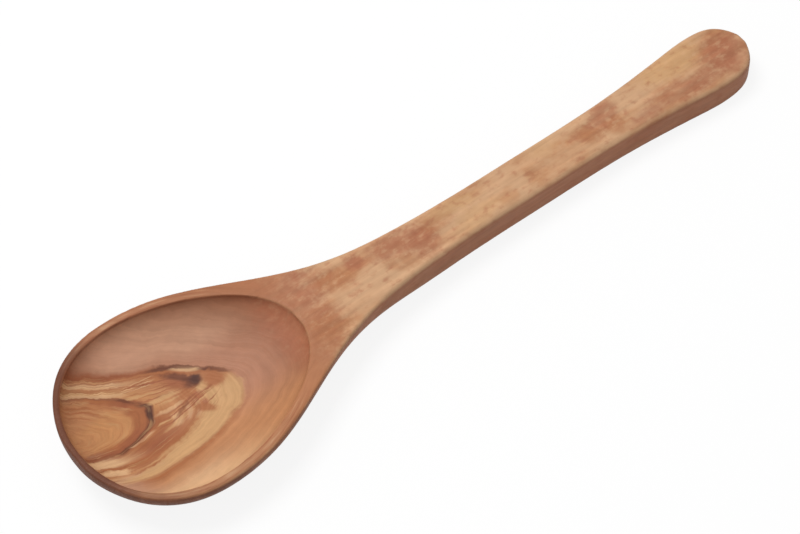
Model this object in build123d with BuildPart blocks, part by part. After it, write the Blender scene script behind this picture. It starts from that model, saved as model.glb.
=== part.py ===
from build123d import *
import math
import os

# A wooden spoon carved from one plank, lying on a table as it rests: the underside of the bowl
# and the underside of the handle's far end touch the table at Z = 0. It runs along X, from the
# tip of the bowl to the end of the handle. The rim and the top of the handle are one flat face,
# the deck. All sizes are in millimetres.

# Overall sizes
length = 280.0
bowl_width = 74.0
bowl_depth = 18.0
handle_thickness = 12.0

# Plan view: the egg of the bowl, the neck, the waist of the handle and its round end
egg_length = 100.0
neck_length = 70.0
waist_width = 17.2
end_width = 24.4

# Outline of the egg behind the tip: shares of the egg's length and of half the bowl's width
egg_shares = [(0.04, 0.49), (0.10, 0.725), (0.20, 0.918), (0.36, 1.0), (0.50, 0.963)]
egg_shares += [(0.65, 0.832), (0.80, 0.643), (0.95, 0.461)]

# Outline of the neck: shares of the neck's length and of the narrowing from bowl to waist
neck_shares = [(0.14, 0.137), (0.43, 0.044), (0.71, 0.009), (1.0, 0.0)]

# Outline of the handle: shares of the length from waist to round end and of the widening
club_shares = [(0.46, 0.09), (0.715, 0.40), (0.87, 0.875)]

# How firmly the outline starts square to the tip and runs straight into the round end
outline_pull_shares = [1, 0.4]

# Underside: where the bowl is deepest as a share of the egg's length, where the neck reaches the
# handle's thickness as a share of its own, the height of the tip, and the rise under the round end
deepest_share = 0.40
thinned_share = 0.26
tip_height = 4.3
end_rise_length = 26.0
end_height = 7.6

# Cross-section of the underside: a half ellipse under the bowl, which turns into the rounded
# rectangle of the handle from a share of the egg's length to a share of the neck's
keel_half_width = 1.0
bowl_wall_height = 0.5
handle_corner = 1.8
squaring_start_share = 0.80
squaring_end_share = 0.66

# Rounding of the top edges at the bowl and along the handle
rim_rounding = 0.9
handle_rounding = 2.2

# How much stands above the deck before it is planed flat
planing_depth = 0.05

# The narrow flats at which the tip and the round end stop
tip_flat = 7.0
end_flat = 5.0

# Hollow of the bowl: its lips, its floor, and where it ends as a share of the egg's length
tip_lip = 2.0
side_lip = 3.9
floor_thickness = 5.0
hollow_end_share = 0.874

# How far the hollow's cutter stands above the deck
cutter_rise = 2.0

# Outline of the hollow: an ellipse that widens towards the tip by these shares, as an egg does
egg_lean_share = 0.21
egg_fullness_share = 0.045

# The flat on the underside that the bowl rests on
foot_cut = 0.4

# Where the sides of the outline have a cross-section, as shares of them, and where the round
# end and the egg of the hollow have one, in degrees
side_shares = [0, 0.011, 0.028, 0.054, 0.092, 0.14, 0.195, 0.25, 0.305, 0.36, 0.415, 0.47, 0.53]
side_shares += [0.605, 0.715, 0.84, 0.945]
round_end_angles = [0, 25, 46, 62]
egg_angles = range(4, 180, 8)

# How far the handles of a cubic curve reach along its two legs to follow an ellipse
ellipse_share = 0.5523

deepest_at = deepest_share * egg_length
squaring_starts_at = squaring_start_share * egg_length
squaring_ends_at = egg_length + squaring_end_share * neck_length
thinned_at = egg_length + thinned_share * neck_length
waist_at = egg_length + neck_length
end_radius = end_width / 2
round_end_at = length - end_radius
end_rise_at = length - end_rise_length
hollow_length = hollow_end_share * egg_length - tip_lip
hollow_half_width = bowl_width / 2 - side_lip
hollow_depth = bowl_depth - floor_thickness

# The deck leans down towards the handle by the angle at which the spoon rests
rest_drop = bowl_depth - foot_cut - handle_thickness
rest_angle = math.atan2(rest_drop, end_rise_at - deepest_at)
deck_height = deepest_at * math.sin(rest_angle) + (bowl_depth - foot_cut) * math.cos(rest_angle)
deck = Plane(
    origin=(-length / 2 * math.cos(rest_angle), 0, deck_height),
    x_dir=(math.cos(rest_angle), 0, -math.sin(rest_angle)),
    z_dir=(math.sin(rest_angle), 0, math.cos(rest_angle)),
)


def outline_points():
    """Points of one side of the plan outline, from behind the tip to the round end."""
    points = [(along * egg_length, across * bowl_width / 2) for along, across in egg_shares]
    narrowing = (bowl_width - waist_width) / 2
    for along, across in neck_shares:
        points.append((egg_length + along * neck_length, waist_width / 2 + across * narrowing))
    widening = (end_width - waist_width) / 2
    for along, across in club_shares:
        place = waist_at + along * (round_end_at - waist_at)
        points.append((place, waist_width / 2 + across * widening))
    return points + [(round_end_at, end_radius)]


def ease(place, start, end):
    """Rises smoothly from 0 at start to 1 at end."""
    share = min(max((place - start) / (end - start), 0), 1)
    return (1 - math.cos(math.pi * share)) / 2


def underside_depth(place):
    """Depth of the underside below the deck on the centre line, at a distance from the tip."""
    if place < deepest_at:
        reach = (deepest_at - place) / deepest_at
        return tip_height + (bowl_depth - tip_height) * math.sqrt(1 - reach**2)
    if place > end_rise_at:
        reach = (place - end_rise_at) / end_rise_length
        return handle_thickness - (handle_thickness - end_height) * (1 - math.sqrt(1 - reach**2))
    thinning = ease(place, deepest_at, thinned_at)
    return bowl_depth + (handle_thickness - bowl_depth) * thinning


def blend(first, second, share):
    """Goes evenly from first at share 0 to second at share 1."""
    return first + (second - first) * share


def quarter(start, corner, end):
    """A quarter of an ellipse that starts towards a corner point and ends square to it."""
    first = Vector(start) + (Vector(corner) - Vector(start)) * ellipse_share
    second = Vector(end) + (Vector(corner) - Vector(end)) * ellipse_share
    return start, first, second, end


def station(place):
    """The plane across the spoon at a distance from the tip."""
    return Plane(deck.from_local_coords(Vector(place)), x_dir=deck.y_dir, z_dir=deck.x_dir)


def cross_section(place, half_width):
    """The cross-section of the spoon at a distance from the tip, with its top not yet planed."""
    depth = underside_depth(place)
    squaring = ease(place, squaring_starts_at, squaring_ends_at)
    rounding = blend(rim_rounding, handle_rounding, squaring)
    corner_width = blend(half_width - keel_half_width, handle_corner, squaring)
    corner_depth = blend(depth - rim_rounding - bowl_wall_height, handle_corner, squaring)
    with BuildSketch(station(place)) as section:
        with BuildLine():
            for side in (1, -1):
                top_corner = (side * half_width, planing_depth)
                bottom_corner = (side * half_width, -depth)
                top = (side * (half_width - rounding), planing_depth)
                wall_top = (side * half_width, planing_depth - rounding)
                wall_foot = (side * half_width, -depth + corner_depth)
                keel = (side * (half_width - corner_width), -depth)
                Bezier(*quarter(top, top_corner, wall_top))
                Line(wall_top, wall_foot)
                Bezier(*quarter(wall_foot, bottom_corner, keel))
            Line((half_width - rounding, planing_depth), (rounding - half_width, planing_depth))
            Line((half_width - corner_width, -depth), (corner_width - half_width, -depth))
        make_face()
    return section.sketch


def hollow_section(place, half_width):
    """The cross-section of the hollow's cutter at a distance from the tip."""
    depth = hollow_depth * half_width / hollow_half_width
    with BuildSketch(station(place)) as section:
        with BuildLine():
            for side in (1, -1):
                edge = (side * half_width, 0)
                Line((side * half_width, cutter_rise), edge)
                Bezier(*quarter(edge, (side * half_width, -depth), (side * keel_half_width, -depth)))
            Line((half_width, cutter_rise), (-half_width, cutter_rise))
            Line((keel_half_width, -depth), (-keel_half_width, -depth))
        make_face()
    return section.sketch


# One side of the plan outline, from the tip to the round end
directions = [(0, 1), (1, 0)]
with BuildLine() as outline:
    Spline((0, tip_flat / 2), *outline_points(), tangents=directions, tangent_scalars=outline_pull_shares)

# The cross-sections along the outline and round the end
sections = []
for share in side_shares:
    edge = outline.line @ share
    sections.append(cross_section(edge.X, edge.Y))
for degrees in round_end_angles:
    beyond = end_radius * math.sin(math.radians(degrees))
    across = end_radius * math.cos(math.radians(degrees))
    sections.append(cross_section(round_end_at + beyond, across))
sections.append(cross_section(length, end_flat / 2))

# The cross-sections along the egg of the hollow
hollow_sections = []
for degrees in egg_angles:
    lean = math.cos(math.radians(degrees))
    swelling = 1 + egg_lean_share * lean + egg_fullness_share * lean**2
    across = hollow_half_width * math.sin(math.radians(degrees)) * swelling
    hollow_sections.append(hollow_section(tip_lip + hollow_length * (1 - lean) / 2, across))

with BuildPart() as hollow:
    loft(hollow_sections)

with BuildPart() as spoon:
    loft(sections)

    # Plane the top flat
    split(bisect_by=deck, keep=Keep.BOTTOM)

    # Hollow out the bowl
    add(hollow.part, mode=Mode.SUBTRACT)

    # Flatten the underside where it rests on the table
    split(bisect_by=Plane.XY, keep=Keep.TOP)

os.makedirs("parts", exist_ok=True)
spoon.part.label = "spoon"
export_step(spoon.part, "parts/spoon.step")
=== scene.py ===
import math

import bpy
from mathutils import Matrix, Vector


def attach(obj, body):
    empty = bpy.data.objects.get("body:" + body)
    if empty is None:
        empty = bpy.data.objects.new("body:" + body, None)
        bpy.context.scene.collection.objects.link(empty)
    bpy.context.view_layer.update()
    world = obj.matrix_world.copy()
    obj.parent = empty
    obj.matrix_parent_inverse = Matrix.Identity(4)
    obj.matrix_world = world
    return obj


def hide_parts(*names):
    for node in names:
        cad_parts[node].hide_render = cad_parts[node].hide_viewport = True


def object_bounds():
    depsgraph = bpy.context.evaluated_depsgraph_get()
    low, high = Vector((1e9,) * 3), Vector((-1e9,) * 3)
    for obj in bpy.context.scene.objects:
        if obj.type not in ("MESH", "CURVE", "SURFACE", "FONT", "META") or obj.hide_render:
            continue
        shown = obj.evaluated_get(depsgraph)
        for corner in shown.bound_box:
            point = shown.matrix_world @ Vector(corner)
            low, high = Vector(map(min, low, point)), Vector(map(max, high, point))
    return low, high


# The looks of a carved wooden spoon that lies on a pale floor. The object is in metres. The wood's
# figure is laid out in millimetres along the spoon: x from the tip of the bowl, y across it and z
# up from the floor.

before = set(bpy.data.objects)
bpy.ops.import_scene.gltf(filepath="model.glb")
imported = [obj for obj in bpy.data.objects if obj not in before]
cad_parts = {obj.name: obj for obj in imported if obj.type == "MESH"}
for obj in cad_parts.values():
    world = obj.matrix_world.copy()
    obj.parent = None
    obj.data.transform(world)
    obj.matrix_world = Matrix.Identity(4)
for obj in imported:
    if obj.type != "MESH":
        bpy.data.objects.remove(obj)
cad_low, cad_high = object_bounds()

MM = 0.001

# The deck, which is the flat top of the spoon, leans down towards the handle
deck_lean = math.radians(1.5)
deck_tip = Vector((cad_low.x, 0, cad_high.z))

# Finer mesh of the spoon
voxel_size = 0.5 * MM
smoothing_share = 0.5
smoothing_rounds = 6

# Camera: where it stands from the deck's tip, in millimetres along the deck, how it is turned and
# how it looks down, and its focal length for a frame 800 pixels wide
camera_place = Vector((-203.5, -431.58, 762.08)) * MM
camera_turn = math.radians(37.64)
camera_dip = math.radians(54.727)
camera_roll = math.radians(-0.097)
focal_length_px = 2838.8
frame_width_px = 800
sensor_width_mm = 36.0

# Light: the strength of the even sky, and the lamp's place and size in metres and its power
sky_strength = 0.44
key_place = (-0.22, 0.42, 1.25)
key_size = 0.6
key_power = 12.9

# Floor: its width in metres, the tone with which it lights the object, and where it is seen
# itself, its tone and the share of it that is plain white
floor_width = 6.0
floor_tone = 0.7
floor_seen_tone = 0.93
floor_white_share = 0.88

WHITE = (1, 1, 1, 1)

# Colours of the wood
PALETTE = {
    "cream": (0.655, 0.40, 0.215),
    "pale": (0.58, 0.345, 0.195),
    "golden": (0.55, 0.315, 0.148),
    "tan": (0.46, 0.21, 0.097),
    "amber": (0.50, 0.235, 0.098),
    "orange": (0.36, 0.13, 0.052),
    "brown": (0.30, 0.098, 0.046),
    "umber": (0.225, 0.077, 0.037),
    "dark": (0.13, 0.044, 0.025),
    "charcoal": (0.075, 0.03, 0.023),
    "mauve": (0.41, 0.19, 0.113),
    "dusky": (0.335, 0.148, 0.083),
    "pink": (0.485, 0.26, 0.163),
    "rose": (0.57, 0.31, 0.20),
    "red": (0.36, 0.127, 0.066),
    "lip": (0.40, 0.165, 0.08),
}

# The growth rings in the bowl are loops round this centre, open towards the tip. The inner loop
# and the outer loop are given by their distance from it at an angle in degrees, where 0 points
# along the spoon and 90 across it. Ring 1 is the inner loop and ring 2 the outer loop, and beyond it
# the rings are evenly spread. The reaches are how far the loops' angles and distances go at most,
# and the outermost ring is the last one with colours of its own.
ring_centre = (0.0, 8.0)
inner_loop = [(-90, 9.5), (-72, 10), (-49, 12.3), (-31, 17.6), (-17, 26.2), (-11, 30.6), (-5, 32.1)]
inner_loop += [(1, 33), (4, 31.1), (14, 26.8), (29, 22.8), (53, 16.8), (78, 13.8), (90, 14)]
outer_loop = [(-90, 22), (-70, 23.9), (-57, 27.9), (-43, 34.5), (-33, 41.9), (-25, 49.9), (-20, 55.4)]
outer_loop += [(-13, 61.6), (-8, 61.7), (-3, 58.5), (1, 54.5), (5, 50.2), (10, 45.7), (15, 41.4)]
outer_loop += [(25, 33.1), (42, 26.9), (58, 22.5), (90, 19)]
loop_angle_reach = 90
loop_distance_reach = 70.0
ring_spread = 20.0
outermost_ring = 4.0

# Between the loops the figure fans out towards the tip from this place
fan_centre = (70.0, 3.0)

# Outline of the hollow, in millimetres: an ellipse that widens towards the tip
hollow_start = 2.0
hollow_length = 85.4
hollow_half_width = 33.1
egg_lean_share = 0.21
egg_fullness_share = 0.045

# Broad colours across the rings at some angles: the ring, then the colour
BROAD = [
    (60, [(0.0, "tan"), (0.9, "tan"), (1.1, "pale"), (1.35, "golden"), (1.55, "tan"), (1.7, "cream"),
          (1.95, "tan"), (2.1, "brown"), (2.3, "mauve"), (3.2, "pink")]),
    (28, [(0.0, "tan"), (0.8, "tan"), (1.0, "orange"), (1.15, "pale"), (1.35, "golden"), (1.5, "tan"),
          # At this angle the rose near ring 2.4 is painted light, lighter than the wood, where the far lip
          # shades the hollow's far wall
          (1.7, "pale"), (1.9, "tan"), (2.05, "brown"), (2.15, "pink"), (2.4, "rose"), (2.9, "pink"),
          (3.5, "dusky")]),
    (10, [(0.0, "tan"), (0.5, "amber"), (0.8, "amber"), (0.93, "brown"), (1.05, "brown"), (1.2, "amber"),
          (1.5, "tan"), (1.8, "orange"), (2.0, "orange"), (2.12, "mauve"), (2.5, "pink"), (2.9, "pink"),
          (3.4, "dusky"), (3.8, "brown")]),
    (0, [(0.0, "tan"), (0.5, "amber"), (0.76, "amber"), (0.84, "orange"), (0.97, "brown"), (1.06, "amber"),
         (1.4, "tan"), (1.62, "orange"), (1.8, "tan"), (1.95, "orange"), (2.1, "mauve"), (2.5, "mauve"),
         (3.0, "dusky")]),
    (-10, [(0.0, "tan"), (0.5, "amber"), (0.75, "amber"), (0.82, "orange"), (0.95, "brown"),
           (1.1, "orange"), (1.3, "tan"), (1.45, "tan"), (1.55, "orange"), (1.66, "golden"),
           (1.97, "golden"), (2.06, "mauve"), (2.4, "mauve"), (2.9, "dusky")]),
    (-25, [(0.0, "tan"), (0.6, "amber"), (0.78, "orange"), (0.95, "brown"), (1.15, "orange"),
           (1.35, "brown"), (1.55, "orange"), (1.64, "golden"), (1.96, "golden"), (2.02, "orange"),
           (2.2, "tan"), (2.8, "tan")]),
    (-50, [(0.0, "tan"), (0.7, "tan"), (0.82, "dusky"), (0.98, "brown"), (1.12, "pale"), (1.3, "cream"),
           (1.42, "orange"), (1.65, "tan"), (1.78, "pale"), (1.93, "golden"), (2.05, "orange"),
           (2.25, "tan"), (2.65, "pale"), (3.0, "cream")]),
    (-72, [(0.0, "tan"), (0.7, "tan"), (0.9, "brown"), (1.0, "brown"), (1.1, "cream"), (1.32, "pale"),
           (1.42, "orange"), (1.55, "cream"), (1.7, "tan"), (1.85, "pale"), (2.1, "pink"), (2.4, "pink"),
           (2.6, "cream")]),
]

# Single streaks along the rings: ring and angle where one starts and ends, half its width in
# rings, its colour and how strongly it shows
STREAKS = [
    (1.02, 60, 1.07, 16, 0.05, "umber", 0.75),
    (1.07, 18, 1.02, 4, 0.055, "dark", 0.8),
    (1.00, 5, 0.98, -14, 0.04, "charcoal", 0.85),
    (0.99, -12, 1.05, -34, 0.05, "dark", 0.85),
    (1.03, -32, 0.98, -80, 0.08, "umber", 0.65),
    (0.86, 6, 0.84, -22, 0.045, "brown", 0.7),
    (0.91, 62, 0.93, 26, 0.022, "brown", 0.7),
    (0.80, 62, 0.84, 24, 0.022, "orange", 0.7),
    (0.71, 62, 0.76, 18, 0.018, "orange", 0.7),
    (0.60, 55, 0.62, 20, 0.018, "orange", 0.4),
    (1.17, 62, 1.24, 18, 0.055, "cream", 0.9),
    (1.30, 60, 1.34, 24, 0.025, "cream", 0.7),
    (1.24, 62, 1.30, 22, 0.016, "orange", 0.6),
    (1.39, 62, 1.40, 20, 0.03, "brown", 0.45),
    (1.50, 62, 1.50, 22, 0.05, "brown", 0.3),
    # The cream streaks at rings 1.64 and 1.76 are strong, and the brown one at 1.69 weak, as painted light
    # that lifts the shade which the far lip casts on the hollow's far wall
    (1.64, 60, 1.62, 24, 0.04, "cream", 0.95),
    (1.57, 40, 1.56, 22, 0.016, "cream", 0.5),
    (1.76, 60, 1.74, 26, 0.035, "cream", 0.9),
    (1.69, 60, 1.68, 24, 0.018, "brown", 0.25),
    (1.83, 60, 1.84, 22, 0.025, "brown", 0.55),
    (1.94, 60, 1.95, 24, 0.03, "brown", 0.6),
    (2.03, 62, 2.02, 14, 0.03, "brown", 0.85),
    (2.02, 16, 2.03, -4, 0.055, "dark", 0.9),
    (1.25, 19, 1.62, 11, 0.03, "cream", 0.8),
    (1.36, 19, 1.72, 12, 0.025, "cream", 0.8),
    (1.31, 17, 1.68, 11, 0.018, "brown", 0.8),
    (1.42, 19, 1.78, 13, 0.022, "brown", 0.8),
    (1.50, 19, 1.86, 13, 0.022, "cream", 0.6),
    (1.22, -9, 1.34, -16, 0.05, "cream", 0.7),
    (1.40, -8, 1.42, -15, 0.03, "pale", 0.6),
    (1.50, -8, 1.54, -16, 0.03, "pale", 0.45),
    (1.58, -9, 1.62, -20, 0.025, "red", 0.7),
    (1.62, -16, 1.70, -50, 0.03, "orange", 0.8),
    (1.10, -16, 1.06, -26, 0.03, "cream", 0.7),
    (1.44, -45, 1.40, -82, 0.03, "umber", 0.55),
    (1.99, -14, 1.98, -60, 0.03, "brown", 0.55),
    (1.68, -60, 1.67, -84, 0.03, "orange", 0.7),
]

# Single patches: place along and across, half length and half width, turn in degrees, colour and
# how strongly it shows. The first ones are in the bowl, the others on the handle. In the bowl, the
# pale strip at the back of the hollow's edge is a painted highlight.
PATCHES = [
    (28.5, 7, 3.2, 5.5, -10, "orange", 0.7),
    (31.5, 5.6, 1.1, 2.4, -10, "charcoal", 0.8),
    (56, -5, 5.5, 4.8, 30, "golden", 0.95),
    (46, -8.5, 10, 4.4, 15, "golden", 0.95),
    (33, -11.5, 11, 3.2, 8, "golden", 0.85),
    (19, -13.4, 10, 1.9, 3, "golden", 0.8),
    (47, -3.0, 3.8, 1.6, -50, "orange", 0.85),
    (45.5, 5.5, 4.5, 2.2, 15, "orange", 0.75),
    (46.5, 10, 6, 2.8, -35, "brown", 0.7),
    (47.3, 10.8, 6.5, 1.2, -40, "dark", 0.8),
    (50.0, 7.4, 3.6, 2.8, -25, "dark", 0.85),
    (50.8, 7.2, 2.4, 1.8, -30, "charcoal", 0.85),
    (50.5, 12.2, 5.5, 0.9, -35, "cream", 0.8),
    (48.5, 14.6, 7, 0.7, -36, "dark", 0.75),
    (57, 6.6, 4.4, 0.8, -46, "dark", 0.8),
    (51.5, 4.2, 3.0, 1.3, 20, "golden", 0.9),
    (55.4, 4.2, 3.8, 3.2, -30, "orange", 0.95),
    (41, 1.5, 5, 0.7, 22, "umber", 0.6),
    (36, -1.5, 5, 0.6, 15, "golden", 0.6),
    (25, -27, 10, 2.4, 12, "cream", 0.5),
    (38, 8.4, 5.5, 0.9, -5, "golden", 0.8),
    (38, 4.0, 5.5, 0.7, 0, "cream", 0.6),
    (8, -4.5, 6, 1.6, -12, "cream", 0.85),
    (9.5, -9, 5.5, 1.4, -10, "cream", 0.95),
    (9, -6.9, 5.5, 0.5, -12, "orange", 0.7),
    # Painted highlight: a pale strip on the rounding at the back of the hollow's edge
    (85, -8, 1.2, 5, 15, "pale", 0.4),
    (88, 2, 12, 22, 0, "red", 0.65),
    (93, -10, 8, 9, 20, "orange", 0.6),
    (97, 8, 10, 7, -20, "red", 0.45),
    (106, 3, 8, 5, -20, "orange", 0.55),
    (114.5, 5.5, 3, 4, 40, "red", 0.8),
    (112, -5, 12, 6, 0, "pale", 0.7),
    (120, -4, 9, 5, -15, "pale", 0.6),
    (131, 4, 11, 6, -8, "red", 0.7),
    (138, -2, 6, 6, 30, "red", 0.65),
    (128, -4, 7, 3, -25, "orange", 0.5),
    (146, 3, 6, 4, -20, "orange", 0.5),
    (156, 4, 12, 3, -5, "golden", 0.6),
    (160, -4, 12, 4, 5, "golden", 0.5),
    (173, 1, 10, 4, -10, "pale", 0.7),
    (172, -4, 4, 3, 30, "tan", 0.5),
    (185, -3, 3, 5, 10, "tan", 0.5),
    (194, 5, 6, 4, 0, "golden", 0.4),
    (198, -3, 12, 5, 0, "pale", 0.6),
    (210, 0, 4, 5, 40, "orange", 0.6),
    (219, 4, 7, 5, 40, "red", 0.65),
    (220, -3, 4, 4, 0, "orange", 0.5),
    (236, 4, 10, 4, 0, "pale", 0.5),
    (232, -6, 8, 3, 0, "mauve", 0.5),
    (248, -5, 13, 5, -8, "red", 0.45),
    (253, 6, 16, 6, 0, "golden", 0.8),
    (268, -1, 9, 8, 60, "red", 0.6),
    (272, -3, 8, 10, 20, "red", 0.55),
    (259, -6, 12, 4, 8, "red", 0.55),
]

# How much detail the noises have, and their middle value
figure_detail = 3.0
fibre_detail = 4.0
mottle_detail = 2.0
noise_middle = 0.5

# Waves that every line of the figure follows: how fine they are and how far they push it. The push
# across the spoon is taken from a place further along it.
wave_scale = 0.11
wave_push = 3.0
ripple_scale = 0.55
ripple_push = 0.8
other_wave_shift = 40

# Below, a name that ends in from or until is a pair of numbers: where something begins to show, and
# where it shows in full. It shows above those of a from pair and below those of an until pair.

# Parts of the spoon, in millimetres from the tip, and how ragged their ends are
plain_wood_from = (80, 90)
handle_from = (74, 92)
bowl_until = (96, 78)
tip_until = (36, 12)
ragged_push = 4
tip_ragged_push = 6

# Single streaks: where they begin to show and show in full, as shares of half their width, and how
# far their ends fade, as a share of their length
streak_side_shares = (1.5, 0.3)
streak_end_share = 0.15

# Fine streaks along the rings and in the fan: how fine they are across and along, the noise that
# makes them dark or light, and how strongly they show. They are weak near the centre of the rings.
# A layer keeps two figures that are alike from lying on each other.
ring_streaks = (17, 0.035)
fan_streaks = (24, 0.03)
fan_streaks_layer = 5.0
dark_streaks_from = (0.51, 0.64)
light_streaks_until = (0.46, 0.34)
streak_strength = 0.5
fan_extra_strength = 0.35
strong_streaks_from = (0.4, 0.95)
weak_streaks_share = 0.35
figure_until = (2.1, 1.95)

# The fan, by ring and by angle
fan_ring_from = (1.04, 1.12)
fan_ring_until = (1.85, 1.7)
fan_angle_from = (-22, -12)
fan_angle_until = (20, 13)

# Single patches: where they begin to show and show in full, as shares of their half sizes, and how
# ragged their edge is
patch_edge_shares = (1.35, 0.45)
patch_raggedness = 0.8

# Wood of the handle: clouds of tan in pale wood, then small red and pale specks
cloud_stretch = 0.35
cloud_scale = 0.12
tan_clouds_from = (0.4, 0.75)
speck_stretch = 0.7
speck_scale = 0.4
red_specks_from = (0.5, 0.75)
pale_specks_until = (0.5, 0.25)
speck_strength = 0.5

# Lip of the bowl, in millimetres outside the hollow's edge, with its grain along and across it
lip_from = (-0.1, 0.4)
lip_strength = 0.8
lip_grain = (0.09, 1.1)
lip_grain_until = (80, 62)
lip_brown_from = (0.48, 0.66)
lip_brown_strength = 0.6
lip_pale_until = (0.46, 0.3)
lip_pale_strength = 0.5

# The lip is dark at the tip, with one strength on the near side and another from the middle on
dark_tip_from = (-30, -12)
dark_tip_strengths = (0.4, 0.92)

# Painted shade: a fine dark line on the hollow's edge at the far side, where the far lip shades
# the hollow. It goes by the distance from the edge, by the depth below the deck and by the place
# across the spoon
edge_shade_until = (0.5, 0.15)
edge_shade_depth_until = (1.5, 0.4)
edge_shade_side_from = (-5, 15)
edge_shade_strength = 0.8

# Outer wall of the bowl, by the depth below the deck, and its underside, by how far the surface
# faces up. The wall is dark partly in the wood's own tone and partly as painted shade, and the
# underside, which faces the floor, is darkened as painted shade. Both have one grain, given along,
# across and up, and are darkest towards the tip, partly as painted shade.
wall_from = (0.3, 1.4)
underside_shade_until = (0.0, -0.2)
wall_tone_and_shade_strength = 0.9
wall_grain = (0.04, 0.3, 0.9)
wall_orange_from = (0.42, 0.66)
wall_orange_strength = 0.8
wall_tip_shade_until = (60, 20)
wall_tip_shade_strength = 0.6

# Sides of the handle, redder and darker partly in the wood's tone and partly as painted shade, and
# the pale edges above them, partly wear and partly painted highlight, by the depth below the deck
side_from = (0.7, 2.0)
side_tone_and_shade_strength = 0.75
worn_highlight_from = (0.05, 0.4)
worn_highlight_until = (1.1, 0.6)
worn_highlight_strength = 0.3

# Fibres and broad grain: how fine they are across, along and up from the rings in the bowl, and
# along and across the handle
bowl_fibres = (34, 0.06, 0.05)
handle_fibres = (0.05, 1.6)
bowl_grain = (6, 0.03)
bowl_grain_layer = 3.0
handle_grain = (0.035, 0.45)

# How much they and the mottles lighten and darken the wood. Wood without rings shows less of the
# fibres, and it alone shows the broad grain.
plain_ring_from = (2.0, 2.2)
fibre_contrast = 0.40
plain_fibre_change = -0.22
grain_contrast = 0.45
mottle_scale = 0.3
mottle_contrast = 0.18

# Satin finish, a little duller along the open fibres
gloss = 0.15
closed_fibres_from = (0.3, 0.7)
fibre_roughness = (0.6, 0.48)
bump_strength = 0.15
bump_height = 0.1 * MM

# Sockets of a mix node that mixes two colours
FIRST_COLOUR = 6
SECOND_COLOUR = 7
MIXED_COLOUR = 2


def deck_point(place):
    """A point given along the deck from its tip, in the frame of the object."""
    return deck_tip + Matrix.Rotation(deck_lean, 3, "Y") @ place


def make_camera():
    """The camera at the photograph's viewing angle."""
    data = bpy.data.cameras.new("camera")
    data.sensor_width = sensor_width_mm
    data.lens = focal_length_px / frame_width_px * sensor_width_mm
    camera = bpy.data.objects.new("camera", data)
    bpy.context.scene.collection.objects.link(camera)
    look = Vector((
        math.sin(camera_turn) * math.cos(camera_dip),
        math.cos(camera_turn) * math.cos(camera_dip),
        -math.sin(camera_dip),
    ))
    right = Vector((math.cos(camera_turn), -math.sin(camera_turn), 0))
    up = right.cross(look)
    axes = Matrix((right, up, -look)).transposed()
    roll = Matrix.Rotation(camera_roll, 3, "Z")
    camera.matrix_world = (Matrix.Rotation(deck_lean, 3, "Y") @ axes @ roll).to_4x4()
    camera.location = deck_point(camera_place)
    bpy.context.scene.camera = camera


def make_light(name, place, size, power):
    """A soft square lamp that points at the middle of the object."""
    data = bpy.data.lights.new(name, "AREA")
    data.shape = "SQUARE"
    data.size = size
    data.energy = power
    lamp = bpy.data.objects.new(name, data)
    lamp.location = place
    lamp.rotation_euler = (-Vector(place)).to_track_quat("-Z", "Y").to_euler()
    bpy.context.scene.collection.objects.link(lamp)


def make_floor():
    """A wide pale floor that keeps a faint shadow of the object."""
    bpy.ops.mesh.primitive_plane_add(size=floor_width)
    floor = bpy.context.object
    floor.name = "floor"
    material = bpy.data.materials.new("pale_floor")
    material.use_nodes = True
    tree = material.node_tree
    tree.nodes.clear()
    output = tree.nodes.new("ShaderNodeOutputMaterial")
    matt = tree.nodes.new("ShaderNodeBsdfDiffuse")
    matt_tone = tree.nodes.new("ShaderNodeMapRange")
    matt_tone.inputs["To Min"].default_value = floor_tone
    matt_tone.inputs["To Max"].default_value = floor_seen_tone
    white = tree.nodes.new("ShaderNodeEmission")
    paths = tree.nodes.new("ShaderNodeLightPath")
    seen = tree.nodes.new("ShaderNodeMath")
    seen.operation = "MAXIMUM"
    share = tree.nodes.new("ShaderNodeMath")
    share.operation = "MULTIPLY"
    share.inputs[1].default_value = floor_white_share
    mixed = tree.nodes.new("ShaderNodeMixShader")
    tree.links.new(paths.outputs["Is Camera Ray"], seen.inputs[0])
    tree.links.new(paths.outputs["Is Glossy Ray"], seen.inputs[1])
    tree.links.new(seen.outputs[0], share.inputs[0])
    tree.links.new(seen.outputs[0], matt_tone.inputs["Value"])
    tree.links.new(matt_tone.outputs["Result"], matt.inputs["Color"])
    tree.links.new(share.outputs[0], mixed.inputs[0])
    tree.links.new(matt.outputs[0], mixed.inputs[1])
    tree.links.new(white.outputs[0], mixed.inputs[2])
    tree.links.new(mixed.outputs[0], output.inputs["Surface"])
    floor.data.materials.append(material)


def make_sky():
    """A white sky that lights evenly, and that looks white where it is seen."""
    world = bpy.data.worlds.new("sky")
    world.use_nodes = True
    tree = world.node_tree
    tree.nodes.clear()
    output = tree.nodes.new("ShaderNodeOutputWorld")
    lit = tree.nodes.new("ShaderNodeBackground")
    lit.inputs["Color"].default_value = WHITE
    lit.inputs["Strength"].default_value = sky_strength
    white = tree.nodes.new("ShaderNodeBackground")
    white.inputs["Color"].default_value = WHITE
    paths = tree.nodes.new("ShaderNodeLightPath")
    mixed = tree.nodes.new("ShaderNodeMixShader")
    tree.links.new(paths.outputs["Is Camera Ray"], mixed.inputs[0])
    tree.links.new(lit.outputs[0], mixed.inputs[1])
    tree.links.new(white.outputs[0], mixed.inputs[2])
    tree.links.new(mixed.outputs[0], output.inputs["Surface"])
    bpy.context.scene.world = world


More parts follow.
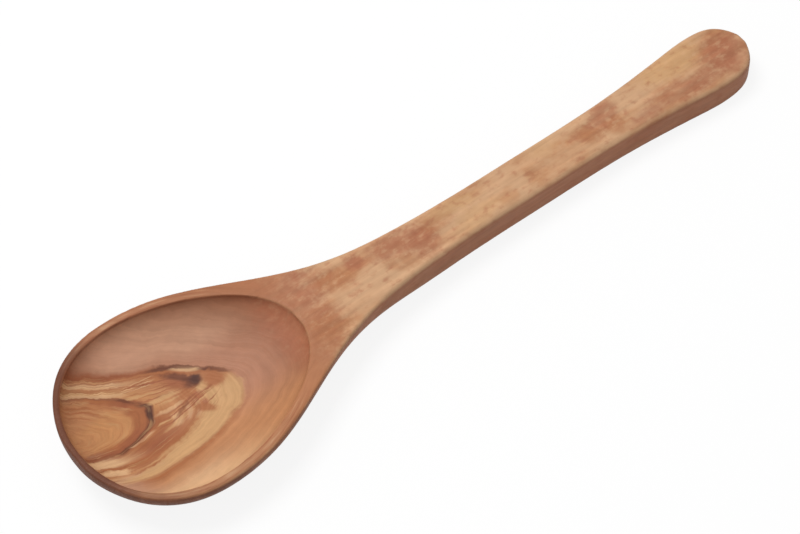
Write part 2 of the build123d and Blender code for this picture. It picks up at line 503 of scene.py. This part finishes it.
def make_spoon():
    """The spoon as one fine even mesh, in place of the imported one."""
    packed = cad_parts["spoon"]
    piece = bpy.data.objects.new("spoon_carved", packed.data.copy())
    bpy.context.scene.collection.objects.link(piece)
    remesh = piece.modifiers.new("even", "REMESH")
    remesh.mode = "VOXEL"
    remesh.voxel_size = voxel_size
    smooth = piece.modifiers.new("sanded", "SMOOTH")
    smooth.factor = smoothing_share
    smooth.iterations = smoothing_rounds
    bpy.context.view_layer.update()
    depsgraph = bpy.context.evaluated_depsgraph_get()
    piece.data = bpy.data.meshes.new_from_object(piece.evaluated_get(depsgraph))
    piece.modifiers.clear()
    for polygon in piece.data.polygons:
        polygon.use_smooth = True
    return piece


class Number:
    """A number that a material works out at each point, with plain arithmetic."""

    def __init__(self, tree, socket):
        self.tree = tree
        self.socket = socket

    def math(self, operation, *others):
        """One step of arithmetic with this number and others."""
        node = self.tree.nodes.new("ShaderNodeMath")
        node.operation = operation
        for socket, value in zip(node.inputs, (self, *others)):
            feed(self.tree, socket, value)
        return Number(self.tree, node.outputs[0])

    def __add__(self, other):
        return self.math("ADD", other)

    def __sub__(self, other):
        return self.math("SUBTRACT", other)

    def __mul__(self, other):
        return self.math("MULTIPLY", other)

    def __truediv__(self, other):
        return self.math("DIVIDE", other)

    def at_least(self, other):
        """This number, or the other where that is larger."""
        return self.math("MAXIMUM", other)

    def at_most(self, other):
        """This number, or the other where that is smaller."""
        return self.math("MINIMUM", other)

    def ramp(self, start, end, low=0.0, high=1.0, smooth=True):
        """Goes from low at start to high at end, and stays there beyond."""
        node = self.tree.nodes.new("ShaderNodeMapRange")
        node.interpolation_type = "SMOOTHSTEP" if smooth else "LINEAR"
        feed(self.tree, node.inputs["Value"], self)
        for name, value in zip(("From Min", "From Max", "To Min", "To Max"), (start, end, low, high)):
            node.inputs[name].default_value = value
        return Number(self.tree, node.outputs["Result"])

    def curve(self, points, reach, height):
        """A smooth curve through points given over -reach to reach, with values up to height."""
        node = self.tree.nodes.new("ShaderNodeFloatCurve")
        line = node.mapping.curves[0]
        spots = [((along + reach) / (2 * reach), value / height) for along, value in points]
        halfway = 0.5
        while len(line.points) < len(spots):
            line.points.new(halfway, halfway)
        for point, spot in zip(line.points, spots):
            point.location = spot
        node.mapping.update()
        feed(self.tree, node.inputs["Value"], (self + reach) / (2 * reach))
        return Number(self.tree, node.outputs["Value"]) * height


def feed(tree, socket, value):
    """Gives a socket a value: a plain number or one that the material works out."""
    if isinstance(value, Number):
        tree.links.new(value.socket, socket)
    else:
        socket.default_value = value


def numbers_of(tree, vector):
    """The three numbers of a vector."""
    node = tree.nodes.new("ShaderNodeSeparateXYZ")
    tree.links.new(vector, node.inputs[0])
    return [Number(tree, socket) for socket in node.outputs]


def noise(x, y, z, scale=1.0, detail=figure_detail):
    """A noise between 0 and 1 at a place, whose first number the material works out."""
    place = x.tree.nodes.new("ShaderNodeCombineXYZ")
    for socket, value in zip(place.inputs, (x, y, z)):
        feed(x.tree, socket, value)
    node = x.tree.nodes.new("ShaderNodeTexNoise")
    node.inputs["Scale"].default_value = scale
    node.inputs["Detail"].default_value = detail
    x.tree.links.new(place.outputs[0], node.inputs["Vector"])
    return Number(x.tree, node.outputs["Fac"])


def blend(first, second, share):
    """Goes evenly from first at share 0 to second at share 1."""
    return first + (second - first) * share


def colour(name):
    """A palette colour with its alpha."""
    return (*PALETTE[name], 1)


def mix(share, first, second):
    """The colour first, turned into second by a share. Each is a palette name or a socket."""
    node = share.tree.nodes.new("ShaderNodeMix")
    node.data_type = "RGBA"
    feed(share.tree, node.inputs["Factor"], share)
    for place, value in ((FIRST_COLOUR, first), (SECOND_COLOUR, second)):
        if isinstance(value, str):
            node.inputs[place].default_value = colour(value)
        else:
            share.tree.links.new(value, node.inputs[place])
    return node.outputs[MIXED_COLOUR]


def ring_colours(ring, stops):
    """The broad colours across the rings at one angle."""
    node = ring.tree.nodes.new("ShaderNodeValToRGB")
    ramp = node.color_ramp
    while len(ramp.elements) < len(stops):
        ramp.elements.new(1)
    for element, (place, name) in zip(ramp.elements, stops):
        element.position = place / outermost_ring
        element.color = colour(name)
    feed(ring.tree, node.inputs["Fac"], ring / outermost_ring)
    return node.outputs["Color"]


def ring_and_angle(x, y):
    """The ring that a place lies on, and its angle round the centre of the rings."""
    along = x - ring_centre[0]
    across = y - ring_centre[1]
    angle = across.math("ARCTAN2", along) * math.degrees(1)
    distance = (along * along + across * across).math("SQRT")
    inner = angle.curve(inner_loop, loop_angle_reach, loop_distance_reach)
    outer = angle.curve(outer_loop, loop_angle_reach, loop_distance_reach)
    ring = (distance / inner).at_most(1)
    ring = ring + ((distance - inner) / (outer - inner)).at_least(0).at_most(1)
    ring = ring + ((distance - outer) / ring_spread).at_least(0)
    return ring, angle


def outside_hollow(x, y):
    """How far outside the hollow's edge a place lies, across the spoon."""
    lean = ((x - hollow_start) * (-2 / hollow_length) + 1).at_most(1).at_least(-1)
    swelling = lean * egg_lean_share + lean * lean * egg_fullness_share + 1
    half_width = (lean * lean * -1 + 1).math("SQRT") * swelling * hollow_half_width
    before = (x * -1 + hollow_start).at_least(0)
    behind = (x - hollow_start - hollow_length).at_least(0)
    return y.math("ABSOLUTE") - half_width + before + behind


class Spot:
    """Where each point of the surface lies, in millimetres, and where in the figure of the wood."""

    def __init__(self, tree):
        x, y, z = numbers_of(tree, tree.nodes.new("ShaderNodeTexCoord").outputs["Object"])
        normal = numbers_of(tree, tree.nodes.new("ShaderNodeNewGeometry").outputs["Normal"])
        self.x = (x - deck_tip.x) / MM
        self.y = y / MM
        self.z = z / MM
        self.facing_up = normal[2]
        self.wave = noise(self.x, self.y, self.z, wave_scale) - noise_middle
        self.ripple = noise(self.x, self.y, self.z, ripple_scale) - noise_middle
        wave_across = noise(self.x + other_wave_shift, self.y, self.z, wave_scale) - noise_middle
        self.figure_x = self.x + self.wave * wave_push + self.ripple * ripple_push
        self.figure_y = self.y + wave_across * wave_push + self.ripple * ripple_push
        self.ring, self.angle = ring_and_angle(self.figure_x, self.figure_y)
        self.outside = outside_hollow(self.x, self.y)
        self.depth = self.x * -math.tan(deck_lean) - self.z + deck_tip.z / MM
        self.in_handle = self.x.ramp(*handle_from)
        self.beside_bowl = (self.x + self.ripple * ragged_push).ramp(*bowl_until)
        self.lip = self.outside.ramp(*lip_from) * self.beside_bowl


def broad_colours(spot):
    """The colours across the rings, blended from one angle to the next."""
    tone = ring_colours(spot.ring, BROAD[0][1])
    for (before, _), (after, stops) in zip(BROAD, BROAD[1:]):
        tone = mix(spot.angle.ramp(before, after), tone, ring_colours(spot.ring, stops))
    return tone


def single_streaks(spot, tone):
    """The single streaks along the rings."""
    outer_side, inner_side = streak_side_shares
    for ring_a, angle_a, ring_b, angle_b, width, name, strength in STREAKS:
        middle = spot.angle.ramp(angle_a, angle_b, ring_a, ring_b, smooth=False)
        away = (spot.ring - middle).math("ABSOLUTE")
        close = away.ramp(width * outer_side, width * inner_side, 0, strength)
        step = (angle_b - angle_a) * streak_end_share
        begun = spot.angle.ramp(angle_a - step, angle_a + step)
        going_on = spot.angle.ramp(angle_b + step, angle_b - step)
        tone = mix(close * begun * going_on, tone, name)
    return tone


def plain_wood(spot, tone):
    """The plain wood of the handle, to which the rings give way behind the bowl."""
    clouds = noise(spot.x * cloud_stretch, spot.y, spot.z, cloud_scale)
    plain = mix(clouds.ramp(*tan_clouds_from), "pale", "tan")
    return mix((spot.figure_x + spot.ripple * ragged_push).ramp(*plain_wood_from), tone, plain)


def fine_streaks(spot, tone):
    """Fine dark and light streaks along the rings, and in a fan between the loops."""
    fan = (spot.figure_y - fan_centre[1]) / (spot.figure_x * -1 + fan_centre[0])
    in_fan = spot.ring.ramp(*fan_ring_from) * spot.ring.ramp(*fan_ring_until)
    in_fan = in_fan * spot.angle.ramp(*fan_angle_from) * spot.angle.ramp(*fan_angle_until)
    across, along = ring_streaks
    round_streak = noise(spot.ring * across, spot.angle * along, 0)
    across, along = fan_streaks
    fan_streak = noise(fan * across, spot.figure_x * along, fan_streaks_layer)
    streak = blend(round_streak, fan_streak, in_fan)
    strength = in_fan * fan_extra_strength + streak_strength
    strength = strength * spot.ring.ramp(*strong_streaks_from, weak_streaks_share, 1)
    strength = strength * spot.ring.ramp(*figure_until)
    tone = mix(streak.ramp(*dark_streaks_from) * strength, tone, "brown")
    return mix(streak.ramp(*light_streaks_until) * strength, tone, "golden")


def single_patches(spot, tone):
    """The single patches in the bowl and on the handle, one of them a painted highlight."""
    raggedness = (spot.wave + spot.ripple) * patch_raggedness
    for place_x, place_y, half_length, half_width, turn, name, strength in PATCHES:
        x = spot.figure_x - place_x
        y = spot.figure_y - place_y
        cosine = math.cos(math.radians(turn))
        sine = math.sin(math.radians(turn))
        along = (x * cosine + y * sine) / half_length
        across = (y * cosine - x * sine) / half_width
        away = (along * along + across * across).math("SQRT") + raggedness
        tone = mix(away.ramp(*patch_edge_shares, 0, strength), tone, name)
    return tone


def specks(spot, tone):
    """Small red and pale specks along the handle."""
    speck = noise(spot.x * speck_stretch, spot.y, spot.z, speck_scale)
    tone = mix(speck.ramp(*red_specks_from, 0, speck_strength) * spot.in_handle, tone, "red")
    return mix(speck.ramp(*pale_specks_until, 0, speck_strength) * spot.in_handle, tone, "pale")


def bowl_lip(spot, tone):
    """The lip of the bowl: darker than the hollow, grained, and darkest at the tip."""
    tone = mix(spot.lip * lip_strength, tone, "lip")
    along, across = lip_grain
    grain = noise(spot.x * along, spot.outside * across, spot.z)
    grained = spot.lip * spot.x.ramp(*lip_grain_until)
    tone = mix(grained * grain.ramp(*lip_brown_from, 0, lip_brown_strength), tone, "brown")
    tone = mix(grained * grain.ramp(*lip_pale_until, 0, lip_pale_strength), tone, "pale")
    tip = (spot.x + spot.wave * tip_ragged_push).ramp(*tip_until)
    return mix(spot.lip * tip * spot.y.ramp(*dark_tip_from, *dark_tip_strengths), tone, "dark")


def far_edge_painted_shade(spot, tone):
    """A fine dark line of painted shade on the hollow's edge at the far side."""
    line = spot.outside.math("ABSOLUTE").ramp(*edge_shade_until) * spot.depth.ramp(*edge_shade_depth_until)
    line = line * spot.beside_bowl * spot.y.ramp(*edge_shade_side_from)
    return mix(line * edge_shade_strength, tone, "umber")


def outer_wall_tone_and_shade(spot, tone):
    """The outer wall and underside of the bowl, dark partly in tone and partly as painted shade."""
    underside_shade = spot.facing_up.ramp(*underside_shade_until) * spot.beside_bowl
    wall = (spot.lip * spot.depth.ramp(*wall_from)).at_least(underside_shade)
    tone = mix(wall * wall_tone_and_shade_strength, tone, "umber")
    along, across, up = wall_grain
    grain = noise(spot.x * along, spot.y * across, spot.z * up, detail=fibre_detail)
    tone = mix(wall * grain.ramp(*wall_orange_from, 0, wall_orange_strength), tone, "orange")
    return mix(wall * spot.x.ramp(*wall_tip_shade_until) * wall_tip_shade_strength, tone, "dark")


def handle_sides(spot, tone):
    """Redder sides, partly painted shade, and pale edges, partly wear and partly painted highlight."""
    tone = mix(spot.depth.ramp(*side_from) * spot.in_handle * side_tone_and_shade_strength, tone, "red")
    worn_highlight = spot.depth.ramp(*worn_highlight_from) * spot.depth.ramp(*worn_highlight_until) * spot.in_handle
    return mix(worn_highlight * worn_highlight_strength, tone, "pale")


def fibres(spot):
    """Fine fibres, along the rings in the bowl and along the handle."""
    across, along, up = bowl_fibres
    in_bowl = noise(spot.ring * across, spot.angle * along, spot.z * up, detail=fibre_detail)
    along, across = handle_fibres
    on_handle = noise(spot.x * along, spot.y * across, spot.z * across, detail=fibre_detail)
    return blend(in_bowl, on_handle, spot.in_handle)


def broad_grain(spot):
    """Broad grain, along the rings in the bowl and along the handle."""
    across, along = bowl_grain
    in_bowl = noise(spot.ring * across, spot.angle * along, bowl_grain_layer)
    along, across = handle_grain
    on_handle = noise(spot.x * along, spot.y * across, spot.z * across)
    return blend(in_bowl, on_handle, spot.in_handle)


def shade(spot, fibre):
    """How light or dark the fibres, the broad grain and the mottles make the wood."""
    plainness = spot.ring.ramp(*plain_ring_from).at_least(spot.in_handle)
    mottle = noise(spot.x, spot.y, spot.z, mottle_scale, mottle_detail)
    from_fibre = (fibre - noise_middle) * (plainness * plain_fibre_change + fibre_contrast) + 1
    from_grain = (broad_grain(spot) - noise_middle) * plainness * grain_contrast + 1
    from_mottle = (mottle - noise_middle) * mottle_contrast + 1
    return from_fibre * from_grain * from_mottle


def wood():
    """Oiled olive wood: looped rings in the bowl and mottled straight grain along the handle."""
    material = bpy.data.materials.new("olive_wood")
    material.use_nodes = True
    tree = material.node_tree
    shader = tree.nodes["Principled BSDF"]

    spot = Spot(tree)
    tone = broad_colours(spot)
    for layer in (single_streaks, plain_wood, fine_streaks, single_patches, specks, bowl_lip,
                  far_edge_painted_shade, outer_wall_tone_and_shade, handle_sides):
        tone = layer(spot, tone)

    fibre = fibres(spot)
    shaded = tree.nodes.new("ShaderNodeVectorMath")
    shaded.operation = "SCALE"
    tree.links.new(tone, shaded.inputs[0])
    feed(tree, shaded.inputs["Scale"], shade(spot, fibre))
    tree.links.new(shaded.outputs[0], shader.inputs["Base Color"])

    shader.inputs["Specular IOR Level"].default_value = gloss
    feed(tree, shader.inputs["Roughness"], fibre.ramp(*closed_fibres_from, *fibre_roughness))
    bump = tree.nodes.new("ShaderNodeBump")
    bump.inputs["Strength"].default_value = bump_strength
    bump.inputs["Distance"].default_value = bump_height
    feed(tree, bump.inputs["Height"], fibre)
    tree.links.new(bump.outputs[0], shader.inputs["Normal"])
    return material


make_camera()
make_sky()
make_light("key", key_place, key_size, key_power)
make_floor()
spoon = make_spoon()
spoon.data.materials.clear()
spoon.data.materials.append(wood())
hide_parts("spoon")
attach(spoon, "root")

bpy.context.scene.view_settings.view_transform = "Standard"
